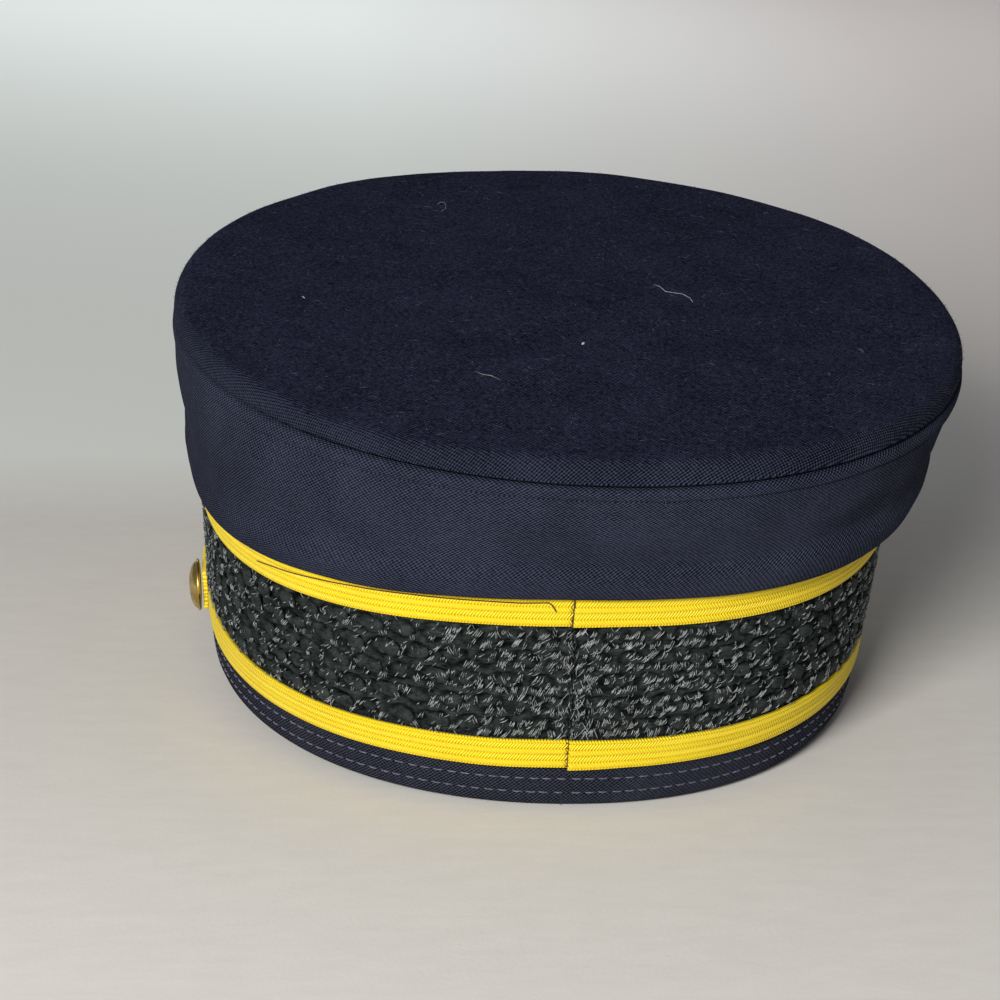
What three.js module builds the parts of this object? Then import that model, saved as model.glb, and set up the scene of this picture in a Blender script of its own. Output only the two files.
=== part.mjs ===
// A conductor's cap of navy serge, in millimetres.
// +Z is up, the peak points along -Y and the wearer's left is +X.
// The cap rests as it does by itself: on the back of its rim and the front edge of its peak.
import * as THREE from 'three';
import { mergeVertices } from 'three/addons/utils/BufferGeometryUtils.js';

// Gap kept between two pieces that are sewn or pressed together.
const pieceGap = 0.3;

// The head opening, an oval that is a little square, measured outside the rim.
// The cap has settled out of true, so the wearer's two sides are not equally square.
const rimHalfWidth = 85.5;
const rimHalfLength = 101.2;
const rimSquarenessLeft = 2.25;
const rimSquarenessRight = 2.05;
const rimHeight = 10.2;
const rimEdgeChamfer = 0.5;
const bandWall = 3.0;
const trimRecess = 0.8;

// The band flares slightly to its top, where it is squarer.
const bandFlareSide = 3.4;
const bandFlareLength = 1.6;
const bandTopSquarenessLeft = 3.0;
const bandTopSquarenessRight = 2.3;

// Trim laid round the band: a gold braid, the wide black braid and a second gold braid.
const goldBraidWidth = 7.6;
const goldBraidThickness = 1.3;
const mohairWidth = 29.6;
const mohairThickness = 1.6;
const trimChamfer = 0.35;

// The soft crown, measured to its widest line, where it stands out past the band.
// It has slid a little towards the wearer's right, and its seam runs lower on that side.
const crownOverhangSide = 12.5;
const crownOverhangFront = 13.2;
const crownOverhangBack = 11.3;
const crownFrontRise = 35.6;
const crownBackRise = 34.0;
const crownLean = 4.8;
const crownSquareness = 2.08;
const crownWall = 1.8;
const crownTuck = 2.2;
const seamDropLeft = 1.6;
const seamDropRight = 3.4;
const shoulderRadius = 3.8;
const topDome = 1.0;

// The peak, a board that slopes down and forward from the rim.
const peakHalfAngle = 66;
const peakReach = 46.0;
const peakTipReach = 4.0;
const peakDrop = 16.5;
const peakCurve = 2.0;
const peakThickness = 2.2;
const peakRootHeight = 1.2;

// The front strap and the two side buttons that hold it.
const strapWidth = 11.0;
const strapThickness = 1.2;
const strapHeight = 11.5;
const strapEndPastButton = 4.0;
const buttonRadius = 7.0;
const buttonEdge = 0.9;
const buttonDome = 2.3;
const buttonAngle = 89;
const buttonStandOff = 0.6;

// Steps round the oval, along the peak and strap, and round a button.
const ovalSteps = 72;
const peakStepsAcross = 36;
const peakStepsOut = 5;
const strapSteps = 48;
const buttonSteps = 20;

// Section of the crown's side from the band up to the top seam.
// rise_left and rise_right are shares of the side's height on the wearer's two sides,
// swell is a share of the crown's overhang and lean is a share of its slide.
const crownSections = [
  { name: 'tuck', rise_left: 0.0, rise_right: 0.0, swell: 0.1, lean: 0.0 },
  { name: 'fold', rise_left: 0.0, rise_right: 0.03, swell: 0.33, lean: 0.18 },
  { name: 'low_swell', rise_left: 0.04, rise_right: 0.12, swell: 0.47, lean: 0.35 },
  { name: 'swell', rise_left: 0.1, rise_right: 0.28, swell: 0.565, lean: 0.5 },
  { name: 'waist', rise_left: 0.18, rise_right: 0.42, swell: 0.53, lean: 0.6 },
  { name: 'flare', rise_left: 0.27, rise_right: 0.49, swell: 0.57, lean: 0.68 },
  { name: 'lower_side', rise_left: 0.38, rise_right: 0.56, swell: 0.65, lean: 0.76 },
  { name: 'middle', rise_left: 0.51, rise_right: 0.65, swell: 0.78, lean: 0.82 },
  { name: 'upper_side', rise_left: 0.66, rise_right: 0.75, swell: 0.89, lean: 0.88 },
  { name: 'near_top', rise_left: 0.82, rise_right: 0.86, swell: 0.955, lean: 0.95 },
  { name: 'under_seam', rise_left: 0.95, rise_right: 0.95, swell: 0.985, lean: 0.99 },
  { name: 'seam', rise_left: 1.0, rise_right: 1.0, swell: 0.965, lean: 1.0 },
];

// Section of the top panel from the seam to its widest line; rise is a share of the drop
// between those two lines.
const topSections = [
  { name: 'seam', rise: 0.0, swell: 0.965 },
  { name: 'over_seam', rise: 0.4, swell: 0.99 },
  { name: 'widest', rise: 1.0, swell: 1.0 },
];

const trimBase = -trimRecess + pieceGap;
const lowerBraidStart = rimHeight + pieceGap;
const mohairStart = lowerBraidStart + goldBraidWidth + pieceGap;
const upperBraidStart = mohairStart + mohairWidth + pieceGap;
const bandHeight = upperBraidStart + goldBraidWidth;
const crownStart = bandHeight + pieceGap;

function mix(from, to, share) {
  return from + (to - from) * share;
}

// Distance from the centre to a squarish oval; its front and back may differ in length
// and its two sides in squareness.
function ovalRadius(angle, oval) {
  const halfLength = Math.cos(angle) > 0 ? oval.front : oval.back;
  const across = Math.abs(Math.sin(angle)) / oval.side;
  const along = Math.abs(Math.cos(angle)) / halfLength;
  const leftward = (1 + Math.sin(angle)) / 2;
  const squareness = mix(oval.squarenessRight, oval.squarenessLeft, leftward);
  return (across ** squareness + along ** squareness) ** (-1 / squareness);
}

// A point of an oval; the angle is turned from the front towards the wearer's left.
function ovalPoint(angle, oval, z) {
  const radius = ovalRadius(angle, oval);
  return new THREE.Vector3(radius * Math.sin(angle), -radius * Math.cos(angle), z);
}

function bandOval(z, outset) {
  const share = z / bandHeight;
  return {
    side: rimHalfWidth + bandFlareSide * share + outset,
    front: rimHalfLength + bandFlareLength * share + outset,
    back: rimHalfLength + bandFlareLength * share + outset,
    squarenessLeft: mix(rimSquarenessLeft, bandTopSquarenessLeft, share),
    squarenessRight: mix(rimSquarenessRight, bandTopSquarenessRight, share),
  };
}

function crownOval(swell, squareShare, outset) {
  const start = bandOval(bandHeight, outset);
  return {
    side: start.side + crownOverhangSide * swell,
    front: start.front + crownOverhangFront * swell,
    back: start.back + crownOverhangBack * swell,
    squarenessLeft: mix(bandTopSquarenessLeft, crownSquareness, squareShare),
    squarenessRight: mix(bandTopSquarenessRight, crownSquareness, squareShare),
  };
}

function bandPoint(angle, z, outset) {
  return ovalPoint(angle, bandOval(z, outset), z);
}

// Share of the way from the wearer's right to the left, and from the back to the front.
function leftShare(x) {
  const halfWidth = rimHalfWidth + bandFlareSide + crownOverhangSide;
  return THREE.MathUtils.clamp((1 + x / halfWidth) / 2, 0, 1);
}

function frontShare(y) {
  const halfLength = rimHalfLength + bandFlareLength + crownOverhangFront;
  return THREE.MathUtils.clamp((1 - y / halfLength) / 2, 0, 1);
}

// Heights over the crown's foot of its widest line and of the seam under it.
function widestHeight(point) {
  return mix(crownBackRise, crownFrontRise, frontShare(point.y));
}

function seamHeight(point) {
  return widestHeight(point) - mix(seamDropRight, seamDropLeft, leftShare(point.x));
}

// A point of the crown's side; outset is measured from its outer face.
function sidePoint(angle, section, outset) {
  const squareShare = (section.rise_left + section.rise_right) / 2;
  const point = ovalPoint(angle, crownOval(section.swell, squareShare, outset), 0);
  const rise = mix(section.rise_right, section.rise_left, leftShare(point.x));
  point.z = crownStart + seamHeight(point) * rise;
  point.x -= crownLean * section.lean;
  return point;
}

// A point of the top panel's edge; lift is added to its height.
function topPoint(angle, section, outset, lift) {
  const point = ovalPoint(angle, crownOval(section.swell, 1, outset), 0);
  const foot = seamHeight(point) + pieceGap;
  point.z = crownStart + mix(foot, widestHeight(point), section.rise) + lift;
  point.x -= crownLean;
  return point;
}

// Joins shared corners and drops the empty triangles at a pole.
function closedBody(geometry) {
  geometry.deleteAttribute('normal');
  geometry.deleteAttribute('uv');
  const merged = mergeVertices(geometry, 1e-4);
  const index = merged.index.array;
  const kept = [];
  for (let i = 0; i < index.length; i += 3) {
    const [a, b, c] = [index[i], index[i + 1], index[i + 2]];
    if (a !== b && b !== c && c !== a) kept.push(a, b, c);
  }
  merged.setIndex(kept);
  merged.computeVertexNormals();
  return merged;
}

// Turns a list of rows round the oval; each row gives its point at an angle.
// Rows run up the outside and down the inside.
function ovalLathe(rows) {
  const profile = rows.map((row, level) => new THREE.Vector2(1, level));
  const geometry = new THREE.LatheGeometry(profile, ovalSteps);
  const position = geometry.attributes.position;
  for (let step = 0; step <= ovalSteps; step += 1) {
    const angle = ((step % ovalSteps) / ovalSteps) * 2 * Math.PI;
    rows.forEach((row, level) => {
      const point = row(angle);
      position.setXYZ(step * rows.length + level, point.x, point.y, point.z);
    });
  }
  return closedBody(geometry);
}

// Bends a box; place is given the shares of its length, its width and its thickness.
function bentBox(stepsAcross, stepsOut, place) {
  const geometry = new THREE.BoxGeometry(1, 1, 1, stepsAcross, stepsOut, 1);
  const position = geometry.attributes.position;
  for (let i = 0; i < position.count; i += 1) {
    const along = position.getX(i) + 0.5;
    const wide = position.getY(i) + 0.5;
    const thick = position.getZ(i) + 0.5;
    const point = place(along, wide, thick);
    position.setXYZ(i, point.x, point.y, point.z);
  }
  return closedBody(geometry);
}

// Stiff band in its cloth cover, with the cover's folded rim standing out below the trim.
function bandGeometry() {
  const section = [
    [0, -rimEdgeChamfer],
    [rimEdgeChamfer, 0],
    [rimHeight - rimEdgeChamfer, 0],
    [rimHeight, -rimEdgeChamfer],
    [rimHeight, -trimRecess],
    [mohairStart, -trimRecess],
    [mohairStart + mohairWidth / 2, -trimRecess],
    [upperBraidStart, -trimRecess],
    [bandHeight, -trimRecess],
    [bandHeight, -bandWall],
    [0, -bandWall],
    [0, -rimEdgeChamfer],
  ];
  return ovalLathe(section.map(([z, outset]) => (angle) => bandPoint(angle, z, outset)));
}

// A flat woven braid laid on the band, with softened edges.
function braidGeometry(start, width, thickness) {
  const face = trimBase + thickness;
  const end = start + width;
  const section = [
    [start, trimBase],
    [start, face - trimChamfer],
    [start + trimChamfer, face],
    [(start + end) / 2, face],
    [end - trimChamfer, face],
    [end, face - trimChamfer],
    [end, trimBase],
    [(start + end) / 2, trimBase],
    [start, trimBase],
  ];
  return ovalLathe(section.map(([z, outset]) => (angle) => bandPoint(angle, z, outset)));
}

function goldBraid(start) {
  return braidGeometry(start, goldBraidWidth, goldBraidThickness);
}

// Side of the crown: it tucks in at the band, swells, dips to a waist and flares to the seam.
function crownSideGeometry() {
  const outer = crownSections.map((section) => (angle) => sidePoint(angle, section, 0));
  const inner = crownSections
    .filter((section, row) => row % 2 === 1)
    .reverse()
    .map((section) => (angle) => sidePoint(angle, section, -crownWall));
  const tuck = (angle) => sidePoint(angle, crownSections[0], -crownTuck - crownWall);
  return ovalLathe([...outer, ...inner, tuck, outer[0]]);
}

// Top panel: a flat oval with a rounded shoulder that turns down to the seam.
function crownTopGeometry() {
  const widest = topSections[topSections.length - 1];
  const shoulder = [30, 60, 90].map((degrees) => (angle) => {
    const turn = THREE.MathUtils.degToRad(degrees);
    const outset = shoulderRadius * (Math.cos(turn) - 1);
    return topPoint(angle, widest, outset, shoulderRadius * Math.sin(turn));
  });
  const middle = new THREE.Vector3(0, 0, 0);
  middle.z = crownStart + widestHeight(middle) + shoulderRadius;
  middle.x -= crownLean;
  const panel = (share, lift) => (angle) => {
    const edge = topPoint(angle, widest, -shoulderRadius, shoulderRadius);
    const point = middle.clone().lerp(edge, share);
    point.z += topDome * (1 - share * share) + lift;
    return point;
  };
  const outer = topSections.map((section) => (angle) => topPoint(angle, section, 0, 0));
  const inner = [
    panel(0, -crownWall),
    panel(0.6, -crownWall),
    (angle) => topPoint(angle, widest, -shoulderRadius, shoulderRadius - crownWall),
    (angle) => topPoint(angle, widest, -crownWall, 0),
    (angle) => topPoint(angle, topSections[0], -crownWall, 0),
  ];
  return ovalLathe([...outer, ...shoulder, panel(0.7, 0), panel(0.35, 0), panel(0, 0),
    ...inner, outer[0]]);
}

// Lowest point of the peak's front edge under the rim, and its distance from the rim's back.
const peakFall = peakDrop - peakRootHeight;
const restSpan = 2 * rimHalfLength - rimEdgeChamfer + pieceGap + peakReach;
const restTilt = Math.atan2(peakFall, restSpan);

// Crescent peak: deepest in front, narrow at its tips, arched along its slope.
function peakGeometry() {
  const halfAngle = THREE.MathUtils.degToRad(peakHalfAngle);
  return bentBox(peakStepsAcross, peakStepsOut, (across, inward, up) => {
    const out = 1 - inward;
    const angle = mix(-halfAngle, halfAngle, across);
    const fullness = Math.cos((angle / halfAngle) * (Math.PI / 2));
    const reach = mix(peakTipReach, peakReach, fullness);
    const drop = peakDrop * (reach / peakReach);
    const point = bandPoint(angle, peakRootHeight + peakThickness * up, pieceGap);
    point.x += Math.sin(angle / 2) * reach * out;
    point.y -= Math.cos(angle / 2) * reach * out;
    point.z -= drop * out;
    point.z += peakCurve * 4 * out * (1 - out) * fullness;
    return point;
  });
}

// Front strap from side button to side button, laid over the rim and the lower braid.
const strapFace = trimBase + goldBraidThickness + pieceGap;

function strapGeometry() {
  const pastButton = strapEndPastButton / rimHalfWidth;
  const halfAngle = THREE.MathUtils.degToRad(buttonAngle) + pastButton;
  return bentBox(strapSteps, 1, (across, out, up) => {
    const angle = mix(-halfAngle, halfAngle, across);
    const z = strapHeight + strapWidth * (out - 0.5);
    return bandPoint(angle, z, strapFace + strapThickness * up);
  });
}

// Domed button, turned about its own axis, its back on the axis origin.
function buttonGeometry() {
  const profile = [new THREE.Vector2(0, 0), new THREE.Vector2(buttonRadius - buttonEdge / 2, 0)];
  profile.push(new THREE.Vector2(buttonRadius, buttonEdge / 2));
  for (const share of [0, 0.25, 0.5, 0.75, 1]) {
    const turn = (share * Math.PI) / 2;
    const radius = (buttonRadius - buttonEdge / 2) * Math.cos(turn);
    profile.push(new THREE.Vector2(radius, buttonEdge + buttonDome * Math.sin(turn)));
  }
  return closedBody(new THREE.LatheGeometry(profile, buttonSteps));
}

function mesh(name, geometry, color, roughness, metalness) {
  const material = new THREE.MeshStandardMaterial({ color, roughness, metalness });
  const piece = new THREE.Mesh(geometry, material);
  piece.name = name;
  return piece;
}

// Seats a button on the strap, facing out from the band.
function sideButton(name, side) {
  const angle = side * THREE.MathUtils.degToRad(buttonAngle);
  const button = mesh(name, buttonGeometry(), 0xb9963a, 0.25, 1.0);
  const face = strapFace + strapThickness + buttonStandOff;
  const step = THREE.MathUtils.degToRad(1);
  const seat = bandPoint(angle, strapHeight, face);
  const along = bandPoint(angle + step, strapHeight, face).sub(seat);
  const outward = new THREE.Vector3(along.y, -along.x, 0).normalize();
  button.position.copy(seat);
  button.quaternion.setFromUnitVectors(new THREE.Vector3(0, 1, 0), outward);
  return button;
}

const cap = new THREE.Group();

function addCloth(name, geometry, color) {
  cap.add(mesh(name, geometry, color, 0.9, 0.0));
}

const navy = 0x191b2c;
const gold = 0xe9c21c;
const black = 0x141617;
addCloth('band', bandGeometry(), navy);
addCloth('gold_braid_lower', goldBraid(lowerBraidStart), gold);
addCloth('mohair_band', braidGeometry(mohairStart, mohairWidth, mohairThickness), black);
addCloth('gold_braid_upper', goldBraid(upperBraidStart), gold);
addCloth('crown_side', crownSideGeometry(), navy);
addCloth('crown_top', crownTopGeometry(), navy);
addCloth('front_strap', strapGeometry(), gold);
cap.add(mesh('peak', peakGeometry(), 0x0b0b0d, 0.2, 0.0));
cap.add(sideButton('button_left', 1));
cap.add(sideButton('button_right', -1));
cap.rotation.x = -restTilt;

// The origin is under the middle of the cap, on the surface that it rests on.
const part = new THREE.Group();
part.add(cap);
part.updateMatrixWorld(true);
const box = new THREE.Box3().setFromObject(part, true);
const centre = box.getCenter(new THREE.Vector3());
cap.position.set(-centre.x, -centre.y, -box.min.z);
part.updateMatrixWorld(true);

export default part;
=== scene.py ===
# A conductor's cap of navy serge with gold and black braid, seen from behind and above.
# Lengths are in millimetres until a piece's mesh is laid in place, which turns them to metres.
import bisect
import math
import random
from math import cos, exp, pi, radians, sin
from random import uniform

import bmesh
import bpy
from mathutils import Matrix, Vector, noise


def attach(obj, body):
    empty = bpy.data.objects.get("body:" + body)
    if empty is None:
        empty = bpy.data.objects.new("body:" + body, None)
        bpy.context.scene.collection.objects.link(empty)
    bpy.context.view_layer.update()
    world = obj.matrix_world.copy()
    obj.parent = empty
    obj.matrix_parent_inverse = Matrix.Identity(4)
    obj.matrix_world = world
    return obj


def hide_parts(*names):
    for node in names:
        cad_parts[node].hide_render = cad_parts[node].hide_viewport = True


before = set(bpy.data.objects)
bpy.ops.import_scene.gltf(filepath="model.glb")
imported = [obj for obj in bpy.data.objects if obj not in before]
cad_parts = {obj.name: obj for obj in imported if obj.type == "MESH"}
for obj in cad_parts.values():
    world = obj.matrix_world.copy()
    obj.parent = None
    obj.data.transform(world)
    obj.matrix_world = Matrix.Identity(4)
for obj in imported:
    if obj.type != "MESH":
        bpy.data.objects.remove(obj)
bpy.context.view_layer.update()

# The band: a stiff oval hoop covered in navy worsted serge, turned under and topstitched
# twice to make the rim. It is woven in a fine diagonal twill, which shows as slanting wales.
RIM_HALF_WIDTH = 85.5
RIM_HALF_LENGTH = 101.2
BAND_FLARE_SIDE = 3.4
BAND_FLARE_LENGTH = 1.6
BAND_TOP_HALF_WIDTH = RIM_HALF_WIDTH + BAND_FLARE_SIDE
BAND_TOP_HALF_LENGTH = RIM_HALF_LENGTH + BAND_FLARE_LENGTH
BAND_WALL = 3.0
TRIM_RECESS = 0.8
BAND_HEIGHT = 55.9
SQUARE_RIM_LEFT = 2.25
SQUARE_RIM_RIGHT = 2.05
SQUARE_TOP_LEFT = 3.0
SQUARE_TOP_RIGHT = 2.3
REST_TILT = radians(-3.527468)
REST_SHIFT = Vector((4.8, 14.380911, 6.195773))
BACK = pi
FULL_TURN = 2 * pi
ROUND_STEPS = 480


def mix(low, high, share):
    return low + (high - low) * share


def clamp(share):
    return min(1.0, max(0.0, share))


def smooth(share):
    share = clamp(share)
    return share * share * (3 - 2 * share)


def noise_round(angle, fineness, level):
    """Uneven value that runs on without a break round the cap."""
    return noise.noise(Vector((sin(angle) * fineness, cos(angle) * fineness, level)))


def oval_point(angle, side, front, back, square_left, square_right, z):
    """A point of a squarish oval; the angle turns from the front to the wearer's left."""
    sine, cosine = sin(angle), cos(angle)
    power = mix(square_right, square_left, (1 + sine) / 2)
    across = abs(sine) / side
    along = abs(cosine) / (front if cosine > 0 else back)
    radius = (across ** power + along ** power) ** (-1 / power)
    return Vector((radius * sine, -radius * cosine, z))


def band_point(angle, z, outset=0.0):
    share = z / BAND_HEIGHT
    length = RIM_HALF_LENGTH + BAND_FLARE_LENGTH * share + outset
    return oval_point(angle, RIM_HALF_WIDTH + BAND_FLARE_SIDE * share + outset, length, length,
                      mix(SQUARE_RIM_LEFT, SQUARE_TOP_LEFT, share),
                      mix(SQUARE_RIM_RIGHT, SQUARE_TOP_RIGHT, share), z)


def round_lengths(row, steps):
    """Length run round a row at each step, from the back seam."""
    points = [row(BACK + FULL_TURN * step / steps) for step in range(steps + 1)]
    lengths = [0.0]
    for before, after in zip(points, points[1:]):
        lengths.append(lengths[-1] + (after - before).length)
    return lengths


def wrap_round(rows, steps=ROUND_STEPS, shut=True, measure=None):
    """Extrudes a circle from row to row round the cap and lays out its cloth in millimetres.
    Each row gives its point at an angle; shut joins the last row to the first."""
    cloth = bmesh.new()
    turn = cloth.verts.layers.int.new("turn")
    line = cloth.verts.layers.int.new("line")
    bmesh.ops.create_circle(cloth, segments=steps, radius=1.0)
    cloth.verts.ensure_lookup_table()
    hoop = list(cloth.verts)
    hoop.sort(key=lambda v: math.atan2(v.co.y, v.co.x) % FULL_TURN)
    for step, v in enumerate(hoop):
        v[turn] = step
    first_edges = edges = list(cloth.edges)
    for level, row in enumerate(rows):
        if level:
            grown = bmesh.ops.extrude_edge_only(cloth, edges=edges)["geom"]
            hoop = [g for g in grown if isinstance(g, bmesh.types.BMVert)]
            fresh = set(hoop)
            edges = [g for g in grown if isinstance(g, bmesh.types.BMEdge)
                     and g.verts[0] in fresh and g.verts[1] in fresh]
        for v in hoop:
            v.co = row(BACK + FULL_TURN * v[turn] / steps)
            v[line] = level
    middle = measure or rows[len(rows) // 3]
    runs = round_lengths(middle, steps)
    heights = [0.0]
    for below, above in zip(rows, rows[1:]):
        gap = max((above(a) - below(a)).length for a in (BACK, BACK / 2))
        heights.append(heights[-1] + gap)
    laid = cloth.loops.layers.uv.new("cloth")
    for face in cloth.faces:
        wraps = {loop.vert[turn] for loop in face.loops} >= {0, steps - 1}
        for loop in face.loops:
            step = loop.vert[turn]
            if wraps and step == 0:
                step = steps
            loop[laid].uv = (runs[step], heights[loop.vert[line]])
    if shut:
        joined = bmesh.ops.bridge_loops(cloth, edges=edges + first_edges)["faces"]
        for face in joined:
            for loop in face.loops:
                loop[laid].uv = (runs[loop.vert[turn]], heights[-1])
        bmesh.ops.recalc_face_normals(cloth, faces=cloth.faces)
    return cloth


def mesh_of(form, name):
    mesh = bpy.data.meshes.new(name)
    form.to_mesh(mesh)
    form.free()
    return mesh


def add_object(name, data):
    thing = bpy.data.objects.new(name, data)
    bpy.context.scene.collection.objects.link(thing)
    return thing


def lay_in_place(cloth, name, mat):
    """Scales a piece to metres, tilts it as the cap rests and makes its object."""
    cloth.transform(Matrix.Scale(0.001, 4) @ Matrix.Translation(REST_SHIFT)
                    @ Matrix.Rotation(REST_TILT, 4, "X"))
    mesh = mesh_of(cloth, name)
    mesh.polygons.foreach_set("use_smooth", [True] * len(mesh.polygons))
    mesh.materials.append(mat)
    return add_object(name, mesh)


def linear(hex_colour):
    """Turns an sRGB hex value into the linear colour that a shader takes."""
    values = [int(hex_colour[i:i + 2], 16) / 255 for i in (1, 3, 5)]
    return (*(v / 12.92 if v <= 0.04045 else ((v + 0.055) / 1.055) ** 2.4 for v in values), 1.0)


def new_material(name):
    mat = bpy.data.materials.new(name)
    mat.use_nodes = True
    mat.node_tree.nodes.clear()
    return mat


def add_node(mat, kind, settings=None, **inputs):
    """Adds a node; an input is a value, or the output socket that feeds it."""
    node = mat.node_tree.nodes.new("ShaderNode" + kind)
    for key, value in (settings or {}).items():
        setattr(node, key, value)
    for key, value in inputs.items():
        slot = node.inputs[int(key[1:])] if key[0] == "i" and key[1:].isdigit() else \
            node.inputs[key.replace("_", " ")]
        if isinstance(value, bpy.types.NodeSocket):
            mat.node_tree.links.new(value, slot)
        else:
            slot.default_value = value
    return node


def maths(mat, operation, first, second=0.0, third=0.0):
    return add_node(mat, "Math", {"operation": operation},
                    i0=first, i1=second, i2=third).outputs[0]


def scaled(mat, value, factor, added=0.0):
    return maths(mat, "MULTIPLY_ADD", value, factor, added)


def clamped(mat, value):
    return maths(mat, "MINIMUM", maths(mat, "MAXIMUM", value, 0.0), 1.0)


def mixed(mat, share, low, high):
    """A colour between two colours."""
    return add_node(mat, "Mix", {"data_type": "RGBA"},
                    i0=share, i6=low, i7=high).outputs[2]


def own_place(mat):
    return add_node(mat, "TexCoord").outputs["Object"]


def cloth_place(mat):
    """Millimetres along and across the laid-out cloth."""
    cloth = add_node(mat, "UVMap", {"uv_map": "cloth"})
    spread = add_node(mat, "SeparateXYZ", Vector=cloth.outputs[0])
    return spread.outputs[0], spread.outputs[1]


def speckle(mat, place, scale, detail, roughness=0.5, distortion=0.0):
    """Noise pattern of about scale spots to the metre."""
    return add_node(mat, "TexNoise", Vector=place, Scale=scale, Detail=detail,
                    Roughness=roughness, Distortion=distortion).outputs[0]


def ramp(mat, share, stops):
    node = add_node(mat, "ValToRGB", Fac=share)
    while len(node.color_ramp.elements) < len(stops):
        node.color_ramp.elements.new(0.5)
    for element, (place, colour) in zip(node.color_ramp.elements, stops):
        element.position = place
        element.color = linear(colour) if isinstance(colour, str) else (colour,) * 3 + (1.0,)
    return node.outputs["Color"]


def finish_cloth(mat, colour, roughness, height, depth, sheen=0.0, sheen_tint="#ffffff",
                 specular=0.25):
    """Joins a colour, a roughness and a height pattern in one shader; depth is in metres."""
    bump = add_node(mat, "Bump", Height=height, Strength=1.0, Distance=depth)
    shader = add_node(mat, "BsdfPrincipled", Base_Color=colour,
                      Roughness=roughness, Normal=bump.outputs[0], Sheen_Weight=sheen,
                      Sheen_Roughness=0.5, Sheen_Tint=linear(sheen_tint),
                      Specular_IOR_Level=specular)
    add_node(mat, "OutputMaterial", Surface=shader.outputs[0])
    return shader


# Worsted serge: a smooth twill of dyed wool. Its wales are about 0.6 mm apart on the cloth;
# they are drawn 0.85 mm apart so that they show. Wool scatters light, so it is matt.
WALE_PITCH = 0.85
COUNTER_PITCH = 1.1
WEAVE_CONTRAST = 0.21
SERGE_DARK = "#070915"


def navy_serge(name, wale_depth=0.00018, dark=SERGE_DARK, light="#4e546b", pilled=0.0,
               specular=0.05):
    mat = new_material(name)
    across, up = cloth_place(mat)
    place = own_place(mat)
    bent = scaled(mat, speckle(mat, place, 90.0, 2.0), 0.5, across)
    slant = maths(mat, "SUBTRACT", scaled(mat, bent, 0.8), up)
    wales = maths(mat, "SINE", scaled(mat, slant, FULL_TURN / WALE_PITCH))
    counter = scaled(mat, bent, 0.9, up)
    threads = maths(mat, "SINE", scaled(mat, counter, FULL_TURN / COUNTER_PITCH))
    weave = scaled(mat, threads, 0.7, wales)
    fuzz = speckle(mat, place, 1500.0, 3.0, 0.75)
    cloud = speckle(mat, place, 60.0, 4.0)
    height = scaled(mat, fuzz, 1.5, weave)
    contrast = WEAVE_CONTRAST
    if pilled:
        facing = add_node(mat, "NewGeometry").outputs["True Normal"]
        level = add_node(mat, "SeparateXYZ", Vector=facing).outputs[2]
        worn = clamped(mat, scaled(mat, level, 2.6, -1.6))
        pills = speckle(mat, place, 850.0, 4.0, 0.8, 0.6)
        raised = maths(mat, "MULTIPLY", pills, worn)
        height = scaled(mat, raised, pilled, height)
        rough = scaled(mat, pills, 1.9, scaled(mat, fuzz, 1.5, -1.2))
        fuzz = add_node(mat, "Mix", i0=worn, i2=fuzz, i3=rough).outputs[0]
        contrast = scaled(mat, worn, -0.12, WEAVE_CONTRAST)
    shade = scaled(mat, weave, contrast, -0.1)
    shade = scaled(mat, fuzz, 0.8, shade)
    shade = scaled(mat, cloud, 0.3, shade)
    colour = ramp(mat, shade, [(0.15, dark), (0.95, light)])
    if pilled:
        fresh = ramp(mat, shade, [(0.15, SERGE_DARK), (0.95, "#4b5168")])
        colour = mixed(mat, worn, fresh, colour)
    finish_cloth(mat, colour, 0.95, height, wale_depth, 0.01, "#8b93b8", specular)
    return mat


serge = navy_serge("navy_worsted_serge", light="#494d5d")

# outset and height of each row in mm: the foot, the rim's face, the recess, the inside
BAND_SECTION = [(-BAND_WALL, 1.0), (-2.7, 0.3), (-1.9, 0.0), (-1.0, 0.05), (-0.3, 0.45),
                (0.0, 1.3), (0.12, 2.4), (0.1, 3.3), (-0.1, 3.75), (0.12, 4.2), (0.2, 5.6),
                (0.14, 7.0), (-0.08, 7.5), (0.12, 8.0), (0.05, 9.3), (-0.3, 10.0),
                (-TRIM_RECESS, 10.25), (-TRIM_RECESS, 30.0), (-TRIM_RECESS, 55.6),
                (-1.2, BAND_HEIGHT), (-2.6, BAND_HEIGHT), (-BAND_WALL, 55.5),
                (-BAND_WALL, 30.0), (-BAND_WALL, 12.0)]


def rim_row(outset, z):
    def row(angle):
        wander = 0.12 * noise_round(angle, 9, z / 9)
        return band_point(angle, z, outset + (wander if -0.3 < outset < 0.3 and z < 10 else 0.0))
    return row


cover = wrap_round([rim_row(o, z) for o, z in BAND_SECTION],
                   measure=lambda a: band_point(a, 6.0))
band_cover = lay_in_place(cover, "band_cover", serge)
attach(band_cover, "root")
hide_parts("band")

# Topstitching of the rim: two rows of grey-violet thread that hold the turned hem.
# Each stitch is a short rounded thread that sinks at both ends into the cloth.
STITCH_ROWS = {"upper_row": 7.5, "lower_row": 3.75}
STITCH_PITCH = 3.3
STITCH_LENGTH = 2.3
STITCH_THREAD = 0.34
STITCH_STEPS = 720
# share of the stitch's length, height over the cloth in mm
STITCH_ARC = ((0, -0.12), (0.2, 0.1), (0.5, 0.17), (0.8, 0.1), (1, -0.12))


def angle_at(length, lengths):
    """Angle at a length run round from the back seam."""
    steps = len(lengths) - 1
    length = length % lengths[-1]
    high = bisect.bisect_right(lengths, length, 1, steps)
    low = high - 1
    part = (length - lengths[low]) / (lengths[high] - lengths[low])
    return BACK + FULL_TURN * (low + part) / steps


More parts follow.
